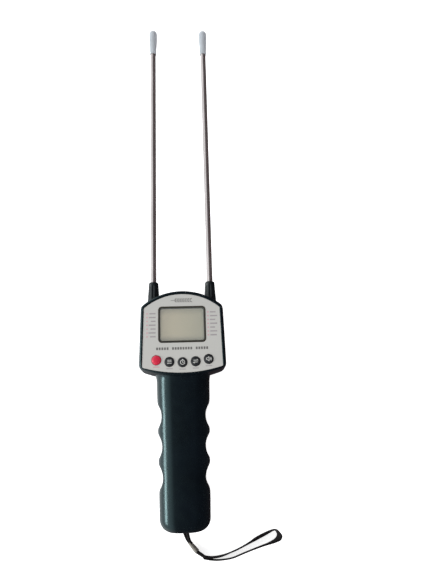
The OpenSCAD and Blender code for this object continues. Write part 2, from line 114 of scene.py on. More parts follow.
def place(p):
    """A point of the drawing, in metres in the frame."""
    return Vector((p[0] * MM, END_Y + p[1] * MM, p[2] * MM))


# ---- Camera ----

FOCAL_SHARE = 0.901
camera_data = bpy.data.cameras.new("camera")
camera_data.sensor_width = 36
camera_data.lens = FOCAL_SHARE * camera_data.sensor_width
camera_data.clip_start = 0.01
camera = bpy.data.objects.new("camera", camera_data)
scene.collection.objects.link(camera)
camera.location = place((7.15, 81.5, 458.18))
camera.rotation_euler = (0.2524, -0.0444, -0.0317)
scene.camera = camera

# ---- Mesh helpers ----


class Shape:
    """Points and faces of one piece, gathered before they become a mesh."""

    def __init__(self):
        self.points = []
        self.faces = []
        self.slots = []

    def add(self, part, slot=0):
        points, faces = part
        first = len(self.points)
        self.points += [tuple(p) for p in points]
        self.faces += [[first + i for i in face] for face in faces]
        self.slots += [slot] * len(faces)
        return self


def loft(loops, closed=False, caps=True):
    """Joins loops of equal length one to the next, and closes both ends or goes back to the first."""
    n = len(loops[0])
    points = [p for loop in loops for p in loop]
    count = len(loops)
    faces = []
    for i in range(count if closed else count - 1):
        a, b = i * n, ((i + 1) % count) * n
        faces += [[a + k, a + (k + 1) % n, b + (k + 1) % n, b + k] for k in range(n)]
    if caps and not closed:
        faces.append(list(range(n - 1, -1, -1)))
        faces.append([(count - 1) * n + k for k in range(n)])
    return points, faces


def harden(mesh, sharp):
    """Smooth shading, with edges sharper than the angle kept crisp."""
    mesh.shade_smooth()
    mesh.set_sharp_from_angle(angle=math.radians(sharp))


def build(name, shape, materials=(), sharp=35):
    """Makes an object from a Shape or from one part, with its normals outward."""
    if not isinstance(shape, Shape):
        shape = Shape().add(shape)
    mesh = bpy.data.meshes.new(name)
    mesh.from_pydata([place(p) for p in shape.points], [], shape.faces)
    mesh.polygons.foreach_set("material_index", shape.slots)
    edit = bmesh.new()
    edit.from_mesh(mesh)
    bmesh.ops.remove_doubles(edit, verts=edit.verts, dist=1e-7)
    bmesh.ops.recalc_face_normals(edit, faces=edit.faces)
    edit.to_mesh(mesh)
    edit.free()
    for material in materials:
        mesh.materials.append(material)
    harden(mesh, sharp)
    obj = bpy.data.objects.new(name, mesh)
    scene.collection.objects.link(obj)
    return obj


def bake(obj):
    """Applies an object's modifiers to its mesh."""
    graph = bpy.context.evaluated_depsgraph_get()
    finished = bpy.data.meshes.new_from_object(obj.evaluated_get(graph))
    obj.modifiers.clear()
    old = obj.data
    obj.data = finished
    bpy.data.meshes.remove(old)


def combine(obj, operation, tools):
    """Adds, cuts or intersects an object with closed parts, one after another."""
    for tool in tools:
        other = build("tool", tool)
        modifier = obj.modifiers.new("combine", "BOOLEAN")
        modifier.operation = operation
        modifier.solver = "MANIFOLD"
        modifier.object = other
        bake(obj)
        other_mesh = other.data
        bpy.data.objects.remove(other)
        bpy.data.meshes.remove(other_mesh)


def clean(obj, sharp=35):
    """Tidies a mesh after its cuts."""
    edit = bmesh.new()
    edit.from_mesh(obj.data)
    bmesh.ops.remove_doubles(edit, verts=edit.verts, dist=2e-6)
    bmesh.ops.dissolve_degenerate(edit, edges=edit.edges, dist=2e-6)
    edit.to_mesh(obj.data)
    edit.free()
    harden(obj.data, sharp)


def even_normals(obj):
    """Lets large flat faces keep their own shading beside small bevels."""
    modifier = obj.modifiers.new("even_normals", "WEIGHTED_NORMAL")
    modifier.keep_sharp = True


def piece(obj, body, slot, *replaced):
    """Says what a finished piece rides on and hides the CAD nodes that it stands for. The slot, its finish,
    is not used.
    """
    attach(obj, body)
    if replaced:
        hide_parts(*replaced)
    return obj


class Outline:
    """A closed outline: middle points, outward directions and how far out the edge lies."""

    def __init__(self, middles, directions, radius):
        self.middles = middles
        self.directions = directions
        self.radius = radius

    def ring(self, z, inset=0.0):
        out = self.radius - inset
        pairs = zip(self.middles, self.directions)
        return [(m[0] + d[0] * out, m[1] + d[1] * out, z) for m, d in pairs]

    def stack(self, levels):
        """A closed solid through levels of height and inset."""
        return loft([self.ring(z, inset) for z, inset in levels])

    def band(self, profile):
        """A closed frame that follows the outline with a profile of inset and height."""
        return loft([self.ring(z, inset) for inset, z in profile], closed=True)


def turn(start, end, steps):
    """Directions that sweep from one angle to another, in degrees."""
    angles = [math.radians(start + (end - start) * k / steps) for k in range(steps + 1)]
    return [(math.cos(a), math.sin(a)) for a in angles]


def disc(x, y, radius, steps=48):
    directions = turn(0, 360, steps)[:-1]
    return Outline([(x, y)] * steps, directions, radius)


def rectangle(x, y, w, h, r, steps=8):
    middles, directions = [], []
    for quarter, (sx, sy) in enumerate([(1, 1), (-1, 1), (-1, -1), (1, -1)]):
        middles += [(x + sx * (w / 2 - r), y + sy * (h / 2 - r))] * (steps + 1)
        directions += turn(90 * quarter, 90 * quarter + 90, steps)
    return Outline(middles, directions, r)


def arched(start, end, low_w, high_w, low_r, high_r, corner_r, steps=44):
    """An outline with arcs at its top and bottom, leaning sides and rounded corners."""
    lean = Vector(((high_w - low_w) / 2, end - start)).normalized()
    side = (lean.y, -lean.x)
    reach = side[0] * low_w / 2 + side[1] * start - corner_r
    lean_angle = math.degrees(math.atan2(side[1], side[0]))

    def corner(middle_y, radius, sign):
        """Where the side's line, moved in, meets an arc, moved in."""
        offset = reach - side[1] * middle_y
        along = math.sqrt(radius**2 - offset**2) * sign
        return side[0] * offset - side[1] * along, middle_y + side[1] * offset + side[0] * along

    high_mid, high_in = end - high_r, high_r - corner_r
    low_mid, low_in = start + low_r, low_r - corner_r
    high_corner = corner(high_mid, high_in, 1)
    low_corner = corner(low_mid, low_in, -1)
    high_angle = math.degrees(math.atan2(high_corner[1] - high_mid, high_corner[0]))
    low_angle = math.degrees(math.atan2(low_corner[1] - low_mid, low_corner[0]))
    right = []
    for direction in turn(-90, low_angle, steps // 2):
        right.append(((direction[0] * low_in, low_mid + direction[1] * low_in), direction))
    right += [(low_corner, d) for d in turn(low_angle, lean_angle, 10)[1:]]
    for k in range(1, 12):
        share = k / 12
        point = tuple(a + (b - a) * share for a, b in zip(low_corner, high_corner))
        right.append((point, side))
    right += [(high_corner, d) for d in turn(lean_angle, high_angle, 10)]
    for direction in turn(high_angle, 90, steps // 2)[1:]:
        right.append(((direction[0] * high_in, high_mid + direction[1] * high_in), direction))
    left = [((-m[0], m[1]), (-d[0], d[1])) for m, d in right[-2:0:-1]]
    rows = right + left
    return Outline([m for m, _ in rows], [d for _, d in rows], corner_r)


def revolve_y(profile, x, z, steps=64, flute=None):
    """Turns (radius, length) pairs about a line along Y. A radius of 0 closes the end in a point."""
    loops = []
    for radius, length in profile:
        loop = []
        for k in range(steps):
            a = 2 * math.pi * k / steps
            r = radius if flute is None else radius - flute(a, length)
            loop.append((x + r * math.cos(a), length, z + r * math.sin(a)))
        loops.append(loop)
    return loops


def revolve_z(profile, x, y, steps=64):
    """Turns (radius, height) pairs about a vertical line."""
    return [disc(x, y, radius, steps).ring(z) for radius, z in profile]


def box(x0, x1, y0, y1, z0, z1):
    corners = [(x0, y0), (x1, y0), (x1, y1), (x0, y1)]
    return loft([[(x, y, z) for x, y in corners] for z in (z0, z1)])


def rod_hole(x, radius, start, end):
    return loft(revolve_y([(radius, start), (radius, end)], x, ROD_Z, 64))


def smooth_route(route, steps):
    """Points along a smooth curve through a route's own points."""
    points = []
    last = len(route) - 1
    for i in range(last):
        a, b, c, d = (route[min(max(i + j, 0), last)] for j in (-1, 0, 1, 2))
        for k in range(steps):
            t = k / steps
            row = []
            for p, q, r, s in zip(a, b, c, d):
                bend = (r - p) * t + (2 * p - 5 * q + 4 * r - s) * t * t
                row.append(0.5 * (2 * q + bend + (3 * q - p - 3 * r + s) * t**3))
            points.append(row)
    points.append(list(route[-1]))
    return points


def resample(points, step):
    """Points evenly spaced along a line of points, with any further numbers carried along."""
    spans = [(Vector(b[:3]) - Vector(a[:3])).length for a, b in zip(points, points[1:])]
    count = round(sum(spans) / step)
    even = [points[0]]
    i, passed = 0, 0.0
    for k in range(1, count):
        goal = sum(spans) * k / count
        while passed + spans[i] < goal:
            passed += spans[i]
            i += 1
        share = (goal - passed) / spans[i]
        even.append([p + (q - p) * share for p, q in zip(points[i], points[i + 1])])
    return even + [points[-1]]


def frames(points):
    """Each point's place, heading and two directions across it, carried along without a twist."""
    places = [Vector(p[:3]) for p in points]
    last = len(places) - 1
    headings = [(places[min(i + 1, last)] - places[max(i - 1, 0)]).normalized() for i in range(last + 1)]
    side = headings[0].cross(Vector((0, 0, 1))).normalized()
    rows = []
    for spot, heading in zip(places, headings):
        side = (side - heading * side.dot(heading)).normalized()
        rows.append((spot, heading, side, heading.cross(side)))
    return rows


def tube(points, radius, sides=12, relief=None):
    """A closed tube along points. relief gives its radius from the angle and the length run."""
    loops = []
    run = 0.0
    before = None
    for spot, _, side, up in frames(points):
        run += (spot - before).length if before is not None else 0
        before = spot
        loop = []
        for k in range(sides):
            a = 2 * math.pi * k / sides
            r = radius if relief is None else relief(a, run)
            loop.append(spot + side * (r * math.cos(a)) + up * (r * math.sin(a)))
        loops.append(loop)
    return loft(loops)


# ---- Material helpers ----


def link(tree, source, target):
    tree.links.new(source, target)


def texture(tree, kind, coordinates, **settings):
    """A texture node in the object's own coordinates, which are the frame's metres."""
    node = tree.nodes.new(kind)
    link(tree, coordinates, node.inputs["Vector"])
    for key, value in settings.items():
        node.inputs[key.replace("_", " ")].default_value = value
    return node


def spread(tree, value, low, high, out_low, out_high):
    node = tree.nodes.new("ShaderNodeMapRange")
    link(tree, value, node.inputs["Value"])
    for name, number in zip(("From Min", "From Max", "To Min", "To Max"), (low, high, out_low, out_high)):
        node.inputs[name].default_value = number
    return node.outputs["Result"]


def mix(tree, factor, first, second):
    """Mixes two colours, each a tuple or an output, by an output."""
    node = tree.nodes.new("ShaderNodeMix")
    node.data_type = "RGBA"
    link(tree, factor, node.inputs["Factor"])
    for socket, value in ((node.inputs[6], first), (node.inputs[7], second)):
        if isinstance(value, tuple):
            socket.default_value = (*value, 1)
        else:
            link(tree, value, socket)
    return node.outputs[2]


def scaled(color, factor):
    return tuple(min(1.0, c * factor) for c in color)


def maths(tree, operation, first, second=0.0):
    """The result of a maths node on an output and either another output or a number."""
    node = tree.nodes.new("ShaderNodeMath")
    node.operation = operation
    link(tree, first, node.inputs[0])
    if isinstance(second, (int, float)):
        node.inputs[1].default_value = second
    else:
        link(tree, second, node.inputs[1])
    return node.outputs[0]


class Finish:
    """A procedural material: a base colour that varies, a roughness that varies and a fine relief."""

    def __init__(self, name, color, roughness, **sockets):
        self.material = bpy.data.materials.new(name)
        self.material.use_nodes = True
        self.tree = self.material.node_tree
        self.shader = self.tree.nodes["Principled BSDF"]
        self.coordinates = self.tree.nodes.new("ShaderNodeTexCoord").outputs["Object"]
        self.color = color
        self.shader.inputs["Base Color"].default_value = (*color, 1)
        self.shader.inputs["Roughness"].default_value = roughness
        self.roughness = roughness
        self.base = None
        self.normal = None
        for key, value in sockets.items():
            self.shader.inputs[key.replace("_", " ")].default_value = value

    def noise(self, size, detail=3.0, stretch=None):
        """Noise whose features are about this many millimetres across, squeezed along an axis."""
        coordinates = self.coordinates
        if stretch:
            mapping = self.tree.nodes.new("ShaderNodeMapping")
            link(self.tree, coordinates, mapping.inputs["Vector"])
            mapping.inputs["Scale"].default_value = stretch
            coordinates = mapping.outputs["Vector"]
        node = texture(self.tree, "ShaderNodeTexNoise", coordinates, Scale=1 / (size * MM), Detail=detail)
        return node.outputs["Fac"]

    def tint(self, size, low, high, stretch=None):
        """Varies the colour between two brightnesses of itself."""
        factor = spread(self.tree, self.noise(size, 4.0, stretch), 0.3, 0.7, 0, 1)
        self.paint(factor, scaled(self.color, low), scaled(self.color, high))
        return self

    def paint(self, factor, first, second):
        """Sets the colour to a mix of two."""
        self.base = mix(self.tree, factor, first, second)
        link(self.tree, self.base, self.shader.inputs["Base Color"])
        return self

    def dull(self, size, amount, stretch=None):
        """Varies the roughness either way by an amount."""
        low, high = max(0.02, self.roughness - amount), min(1.0, self.roughness + amount)
        value = spread(self.tree, self.noise(size, 4.0, stretch), 0.3, 0.7, low, high)
        link(self.tree, value, self.shader.inputs["Roughness"])
        return self

    def relief(self, height, depth, strength=1.0):
        """Adds a bump of a depth in millimetres, on top of any before it."""
        bump = self.tree.nodes.new("ShaderNodeBump")
        bump.inputs["Strength"].default_value = strength
        bump.inputs["Distance"].default_value = depth * MM
        link(self.tree, height, bump.inputs["Height"])
        if self.normal is not None:
            link(self.tree, self.normal, bump.inputs["Normal"])
        self.normal = bump.outputs["Normal"]
        link(self.tree, self.normal, self.shader.inputs["Normal"])
        return self

    def grain(self, size, depth, strength=1.0, stretch=None):
        return self.relief(self.noise(size, 2.0, stretch), depth, strength)


def plastic(name, color, roughness=0.45, size=0.4, depth=0.02, **sockets):
    """Moulded plastic with a fine grain and a little unevenness."""
    finish = Finish(name, color, roughness, **sockets)
    return finish.tint(9, 0.9, 1.1).dull(5, 0.06).grain(size, depth).material


def metal(name, color, roughness=0.3, stretch=(1, 1, 1)):
    """Bare metal, with drawn lines where it is stretched along an axis."""
    finish = Finish(name, color, roughness, Metallic=1.0)
    return finish.tint(6, 0.88, 1.08).dull(3, 0.07).grain(0.35, 0.01, 0.6, stretch).material


# ---- Materials ----


def shell_material():
    """Glossy dark teal plastic, a little wavy and fingered."""
    finish = Finish("shell_plastic", (0.0021, 0.0038, 0.0058), 0.26)
    finish.shader.inputs["Specular Tint"].default_value = (0.66, 0.98, 1, 1)
    finish.tint(18, 0.8, 1.25)
    finish.dull(7, 0.04)
    finish.grain(5.5, 0.05, 0.5)
    finish.grain(0.7, 0.012, 0.5)
    return finish.material


def plate_material():
    """Satin silver lacquer with a fine sparkle."""
    finish = Finish("plate_silver", (0.49, 0.483, 0.459), 0.42, Metallic=0.15)
    finish.tint(0.35, 0.97, 1.03)
    finish.dull(12, 0.05)
    finish.grain(0.3, 0.008, 0.5)
    return finish.material


def lcd_material():
    """Grey-green display glass with painted shade: lighter and warmer on the left, darker and greyer to the
    right, with a fine line inside its edge.
    """
    finish = Finish("display_glass", (0.42, 0.4, 0.31), 0.22, Coat_Weight=0.3, Coat_Roughness=0.06)
    tree = finish.tree
    split = tree.nodes.new("ShaderNodeSeparateXYZ")
    link(tree, finish.coordinates, split.inputs["Vector"])
    half = WINDOW_W / 2 * MM
    share = spread(tree, split.outputs["X"], -half, half, 0, 1)
    # Painted shade: the glass colour runs from a lit, warm left to a darker, greyer right
    glass = mix(tree, share, (0.382, 0.325, 0.223), (0.235, 0.215, 0.15))
    line_in = 1.6
    middle_y = place((0, WINDOW_MID, 0)).y
    edges = []
    for axis, middle, size in (("X", 0, WINDOW_W), ("Y", middle_y, WINDOW_H)):
        away = maths(tree, "ABSOLUTE", maths(tree, "SUBTRACT", split.outputs[axis], middle))
        edges.append(maths(tree, "SUBTRACT", away, (size / 2 - line_in) * MM))
    gap = maths(tree, "ABSOLUTE", maths(tree, "MAXIMUM", *edges))
    line = spread(tree, gap, 0.08 * MM, 0.2 * MM, 0.35, 0)
    finish.paint(line, (0, 0, 0), (0.12, 0.12, 0.09))
    # The painted shade from the lit left to the darker right lies under the edge line
    link(tree, glass, finish.base.node.inputs[6])
    finish.grain(0.25, 0.004, 0.4)
    return finish.material


def board_material():
    """Green solder mask with copper tracks under it."""
    finish = Finish("circuit_board", (0.02, 0.15, 0.06), 0.35)
    brick = texture(finish.tree, "ShaderNodeTexBrick", finish.coordinates, Scale=260.0)
    brick.inputs["Mortar Size"].default_value = 0.03
    finish.paint(brick.outputs["Fac"], (0.015, 0.11, 0.045), (0.05, 0.24, 0.1))
    finish.dull(3, 0.06)
    return finish.relief(brick.outputs["Fac"], 0.03).material


def cell_material():
    """Shrink-wrapped cell sleeve: dark with one bright band towards its button."""
    finish = Finish("cell_wrap", (0.02, 0.06, 0.03), 0.3, Coat_Weight=0.4)
    split = finish.tree.nodes.new("ShaderNodeSeparateXYZ")
    link(finish.tree, finish.coordinates, split.inputs["Vector"])
    middle = place((0, BAY_START + BAY_L / 2, 0)).y
    band = spread(finish.tree, split.outputs["Y"], middle - 0.5 * MM, middle + 0.5 * MM, 0, 1)
    finish.paint(band, (0.02, 0.07, 0.035), (0.03, 0.09, 0.05))
    return finish.dull(6, 0.08).grain(1.5, 0.02, 0.4).material


def cloth_material(name, color, roughness=0.85):
    """Dull polyester fibre."""
    finish = Finish(name, color, roughness, Specular_IOR_Level=0.3)
    finish.tint(1.2, 0.75, 1.35)
    finish.dull(2, 0.08)
    return finish.grain(0.12, 0.05, 0.8).material


def cap_material():
    """Milky soft plastic that the rod shows through."""
    finish = Finish("cap_milky", (0.5, 0.53, 0.565), 0.4, Transmission_Weight=0.35, IOR=1.33)
    return finish.tint(4, 0.93, 1.05).dull(3, 0.06).grain(1.2, 0.03, 0.4).material


def lens_material():
    """Clear acrylic window."""
    finish = Finish("window_acrylic", (0.8, 0.84, 0.8), 0.05, Alpha=0.1, IOR=1.49)
    return finish.tint(20, 0.98, 1.0).dull(15, 0.02).grain(9, 0.01, 0.3).material


def steel_material():
    """Drawn stainless rod, brownish where it reflects little."""
    finish = Finish("rod_steel", (0.62, 0.555, 0.55), 0.2, Metallic=0.92)
    finish.shader.inputs["Specular Tint"].default_value = (0.6, 0.56, 0.56, 1)
    finish.tint(5, 0.86, 1.08, (1, 0.12, 1))
    finish.dull(2.5, 0.06, (1, 0.2, 1))
    return finish.grain(0.3, 0.006, 0.6, (1, 0.05, 1)).material


SHELL = shell_material()
PLATE = plate_material()
LCD = lcd_material()
BOARD = board_material()
CELL = cell_material()
CAP = cap_material()
LENS = lens_material()
STEEL = steel_material()
STRING = cloth_material("string_braid", (0.005, 0.004, 0.0045))
WEBBING = cloth_material("webbing_weave", (0.006, 0.0045, 0.005))
THREAD = cloth_material("stitch_thread", (0.02, 0.018, 0.018))
FRAME_LINE = plastic("window_line", (0.028, 0.025, 0.018), 0.32, Coat_Weight=0.2)
SLEEVE = plastic("sleeve_grey", (0.2, 0.185, 0.165), 0.38, 0.6, 0.02)
BOOT = plastic("boot_rubber", (0.004, 0.007, 0.008), 0.4, 0.5, 0.02)
KEY_RED = plastic("key_red", (0.54, 0.022, 0.054), 0.36, 0.5, 0.008, Coat_Weight=0.15)
KEY_BLACK = plastic("key_black", (0.014, 0.015, 0.017), 0.42, 0.5, 0.008)
MARK_WHITE = plastic("mark_white", (0.5, 0.5, 0.48), 0.6, 0.3, 0.004)
INK_BLACK = plastic("ink_black", (0.12, 0.115, 0.11), 0.55, 0.3, 0.003)
INK_GREY = plastic("ink_grey", (0.29, 0.265, 0.27), 0.6, 0.3, 0.003)
INK_ROSE = plastic("ink_rose", (0.5, 0.27, 0.3), 0.6, 0.3, 0.003)
FOAM = plastic("door_foam", (0.03, 0.03, 0.032), 0.95, 0.5, 0.15)
HOLDER = plastic("holder_plastic", (0.7, 0.69, 0.64), 0.5)
ELASTOMER = plastic("contact_rubber", (0.02, 0.02, 0.022), 0.6)
CHIP = plastic("chip_epoxy", (0.012, 0.012, 0.013), 0.6, 0.2, 0.02)
SWITCH = plastic("switch_plastic", (0.04, 0.04, 0.045), 0.5)
PLUNGER = plastic("plunger_rubber", (0.3, 0.3, 0.31), 0.6)
SCREW_STEEL = metal("screw_steel", (0.62, 0.63, 0.65), 0.28)
SCREW_DARK = metal("screw_dark", (0.22, 0.22, 0.23), 0.36)
BRASS = metal("clamp_brass", (0.72, 0.5, 0.2), 0.3)
CONTACT = metal("contact_nickel", (0.6, 0.61, 0.62), 0.24)
WIRE_RED = plastic("wire_red", (0.45, 0.02, 0.02), 0.45)
WIRE_BLUE = plastic("wire_blue", (0.03, 0.09, 0.4), 0.45)

# ---- Strap ----

STRING_D = 2.5
STRING_ROUTE = [
    (3.5, -12.8, 2.5), (2.1, -11, 2.7), (0.9, -9, 3.3), (-0.1, -6.6, 4.9), (-0.9, -4, 7.2),
    (-1.25, -2.1, 8.7), (-1.3, -0.2, 9.1), (-1.3, 1.4, 9.1), (-1.3, 3.2, 9.1), (-1.1, 4.5, 9.3), (0, 5.2, 10),
    (1.1, 4.5, 10.7), (1.3, 3.2, 10.9), (1.3, 1.4, 10.9), (1.3, -0.2, 10.9), (1.4, -2.1, 10.6),
    (1.6, -4, 9.4), (2, -6.6, 7.3), (2.6, -9, 5.5), (3.35, -10.7, 4.8), (4.5, -12.1, 4.7),
]
WEBBING_W = 8
WEBBING_T = 1.2
# Places along the webbing, with its lean: 90 is on edge, and more tips its top to the strand's left
WEBBING_ROUTE = [
    (14, -21.9, 4.1, 96), (16.6, -22.4, 4.1, 96), (19.4, -22.8, 4.1, 96), (23.2, -22.8, 4.1, 96),
    (27.2, -22.3, 4.1, 97), (31.2, -21.3, 4.1, 100), (35.2, -20, 4.1, 103), (39.3, -18.6, 4.1, 104),
    (43, -17.1, 4.1, 104), (47, -15.3, 4.1, 105), (51.6, -13.1, 4.1, 109), (55.7, -11, 4.1, 116),
    (60, -9, 4.1, 117), (64.8, -7, 4.1, 115), (68.2, -5.6, 4.1, 110), (70.8, -4.8, 4.1, 105),
    (72.9, -4.9, 4.1, 100), (74.6, -6.8, 4.1, 104), (75.6, -9, 4, 112), (74.6, -11.1, 4, 108),
    (72.4, -12.5, 4.1, 97), (69.2, -13.8, 4.1, 90), (65, -15.1, 4.1, 83), (60, -16.5, 4.1, 80),
    (55.4, -17.9, 4.1, 79), (51, -19.3, 4.1, 78), (46.4, -20.8, 4.1, 78), (41.5, -22.5, 4.1, 78),
    (37.5, -23.8, 4.1, 78), (33, -24.6, 4.1, 78), (27.1, -25, 4.1, 79), (23.1, -24.9, 4.1, 80),
    (19.2, -24.4, 4.1, 82), (16, -23.6, 4.1, 86), (13.6, -22.8, 4.1, 90),
]
SLEEVE_LOW, SLEEVE_HIGH = Vector((2.8, -11.4, 3.6)), Vector((8.6, -18, 3.9))
JOINT_LOW, JOINT_HIGH = Vector((9.1, -18.6, 4.2)), Vector((15.8, -23.1, 4.2))
JOINT_LEAN = 0.2


def make_string():
    """Three-ply cord that runs from the sleeve through the handle's end and back."""
    points = resample(smooth_route(STRING_ROUTE, 8), 0.25)
    pitch = 6.5

    def ply(angle, run):
        return STRING_D / 2 * (0.95 + 0.05 * math.cos(3 * (angle - 2 * math.pi * run / pitch)))

    cord = build("string", tube(points, STRING_D / 2, 18, ply), [STRING], 60)
    return piece(cord, "case", "string", "strap_string"), points


def make_webbing():
    """Flat woven tape: a plain weave in relief, with rolled edges."""
    points = resample(smooth_route(WEBBING_ROUTE, 8), 0.45)
    columns = 12
    loops = []
    for i, (spot, heading, _, _) in enumerate(frames(points)):
        lean = math.radians(points[i][3])
        side = heading.cross(Vector((0, 0, 1))).normalized()
        up = side.cross(heading)
        wide = side * math.cos(lean) + up * math.sin(lean)
        thin = heading.cross(wide)
        near, far = [], []
        for j in range(columns + 1):
            at = j / columns * 2 - 1
            edge = abs(at) > 0.99
            lift = 0.06 * (-1) ** (i + j) * (0 if edge else 1)
            half = WEBBING_T / 2 * (0.5 if edge else 0.9)
            near.append(spot + wide * (at * WEBBING_W / 2) + thin * (half + lift))
            far.append(spot + wide * (at * WEBBING_W / 2) - thin * (half - lift))
        loops.append(near + far[::-1])
    tape = build("webbing", loft(loops), [WEBBING], 80)
    return piece(tape, "case", "webbing", "strap_webbing"), points


def oval(middle, across, half_w, half_h, steps, power=2.0, lean=0.0):
    """A rounded loop that stands across a horizontal direction and may lean along the meter."""
    loop = []
    for k in range(steps):
        a = 2 * math.pi * k / steps
        c, s = math.cos(a), math.sin(a)
        x = math.copysign(abs(c) ** (2 / power), c) * half_w
        z = math.copysign(abs(s) ** (2 / power), s) * half_h
        loop.append(middle + across * x + Vector((0, z * lean, z)))
    return loop


def level(angle):
    return Vector((math.cos(math.radians(angle)), math.sin(math.radians(angle)), 0))


def make_sleeve():
    """Tapered sleeve with rounded ends and three shallow crimps."""
    loops = []
    across = level(44)
    steps = 40
    for i in range(steps + 1):
        t = -0.055 + 1.11 * i / steps
        spot = SLEEVE_LOW + (SLEEVE_HIGH - SLEEVE_LOW) * t
        end = min(1.0, min(i, steps - i) / 3)
        crimp = sum(math.exp(-(((t - c) / 0.035) ** 2)) for c in (0.18, 0.3, 0.86))
        shrink = (0.86 + 0.14 * math.sqrt(1 - (1 - end) ** 2)) * (1 - 0.05 * crimp)
        loops.append(oval(spot, across, (1.6 + 0.5 * t) * shrink, (2.2 + 1.1 * t) * shrink, 40))
    sleeve = build("sleeve", loft(loops), [SLEEVE], 50)
    return piece(sleeve, "case", "sleeve", "strap_sleeve")


def make_joint():
    """Folded and stitched block, with its thread in relief."""
    loops = []
    steps = 18
    for i in range(steps + 1):
        t = -0.07 + 1.14 * i / steps
        spot = JOINT_LOW + (JOINT_HIGH - JOINT_LOW) * t
        end = min(1.0, min(i, steps - i) / 3)
        shrink = 0.82 + 0.18 * math.sqrt(1 - (1 - end) ** 2)
        half_w = (1.5 - 0.2 * t) * shrink * (1 - 0.04 * math.sin(t * math.pi))
        half_h = 3.8 * (0.96 + 0.04 * shrink)
        loops.append(oval(spot, level(44 + 16 * t), half_w, half_h, 36, 4.5, JOINT_LEAN))
    block = build("stitched_joint", loft(loops), [WEBBING], 50)
    shape = Shape()
    for row in (-1, 0, 1):
        for i in range(7):
            t = 0.1 + 0.125 * i
            start = JOINT_LOW + (JOINT_HIGH - JOINT_LOW) * t + level(44 + 16 * t) * (row * 0.8)
            stop = start + (JOINT_HIGH - JOINT_LOW) * 0.075
            rises = ((start, 3.5), ((start + stop) / 2, 3.78), (stop, 3.5))
            arc = [tuple(p + Vector((0, JOINT_LEAN * z, z))) for p, z in rises]
            shape.add(tube(smooth_route(arc, 3), 0.15, 8))
    thread = build("stitches", shape, [THREAD], 60)
    piece(thread, "case", "webbing")
    return piece(block, "case", "webbing", "strap_joint")


sleeve = make_sleeve()
joint = make_joint()
string, string_line = make_string()
webbing, webbing_line = make_webbing()

# ---- Case ----

HEAD = arched(HEAD_START, HEAD_END, HEAD_LOW_W, HEAD_HIGH_W, HEAD_LOW_R, HEAD_TOP_R, HEAD_CORNER_R)
SEAM = 0.3


def head_levels():
    """Heights and insets of the head's wall, from its rounded back edge over the seam to its rim."""
    quarter = [math.pi / 2 * k / 10 for k in range(11)]
    levels = [(8 - 8 * math.cos(a), 3 - 3 * math.sin(a)) for a in quarter]
    levels += [(12, 0), (SPLIT_Z - SEAM, 0), (SPLIT_Z, SEAM), (SPLIT_Z + SEAM, 0), (22, 0)]
    levels += [(25 + k, 0.7 * (k / 8) ** 2) for k in range(0, 9, 2)]
    rim = RIM_Z - CEILING_Z
    levels += [(CEILING_Z + rim * math.sin(a), 2.6 - 1.9 * math.cos(a)) for a in quarter[1:]]
    return levels


def soft_min(a, b, blend):
    """The lesser of two numbers, rounded where they meet."""
    return 0.5 * (a + b - math.sqrt((a - b) ** 2 + 4 * blend**2))


def rounded_end(at, radius):
    """How far in a rounded end lies this far along."""
    return radius - math.sqrt(max(0.0, radius**2 - max(0.0, radius - at) ** 2))


def handle_half(at, inset):
    grown = max(0.0, at - HANDLE_CORNER_R) * HANDLE_GAIN / (HEAD_START + 10 - HANDLE_CORNER_R)
    return HANDLE_LOW_HALF - inset + grown - rounded_end(at - inset, HANDLE_CORNER_R - inset)


def scallop_limit(at, inset):
    """Half-width that the finger scallops leave."""
    limit = 99.0
    for middle in SCALLOPS:
        away = abs(at - middle)
        if away < SCALLOP_R + inset:
            edge = HANDLE_LOW_HALF + HANDLE_GAIN * middle / HEAD_START
            reach = math.sqrt((SCALLOP_R + inset) ** 2 - away**2)
            limit = min(limit, edge + SCALLOP_R - SCALLOP_DEPTH - reach)
    return limit


def handle_section(half, inset):
    """Right half of the handle's cross-section from back to front: x, z and its outward direction."""
    back_r, front_r = HANDLE_BACK_R - inset, HANDLE_FRONT_R - inset
    crown = 0.22
    rows = [((half - back_r) * k / 4, inset, 0, -1) for k in range(4)]
    for c, s in turn(-90, 0, 10):
        rows.append((half - back_r + back_r * c, inset + back_r + back_r * s, c, s))
    seam = 0 if inset else SEAM
    rows += [(half, SPLIT_Z - SEAM, 1, 0), (half - seam, SPLIT_Z, 1, 0), (half, SPLIT_Z + SEAM, 1, 0)]
    middle = half - front_r
    low = HANDLE_TOP - inset - crown - front_r * math.sin(math.radians(87))
    for c, s in turn(0, 87, 20):
        rows.append((middle + front_r * c, low + front_r * s, c, s))
    shoulder = middle + front_r * math.cos(math.radians(87))
    for k in range(1, 7):
        x = shoulder * (1 - k / 6)
        rows.append((x, HANDLE_TOP - inset - crown * (x / shoulder) ** 2, 0, 1))
    return rows


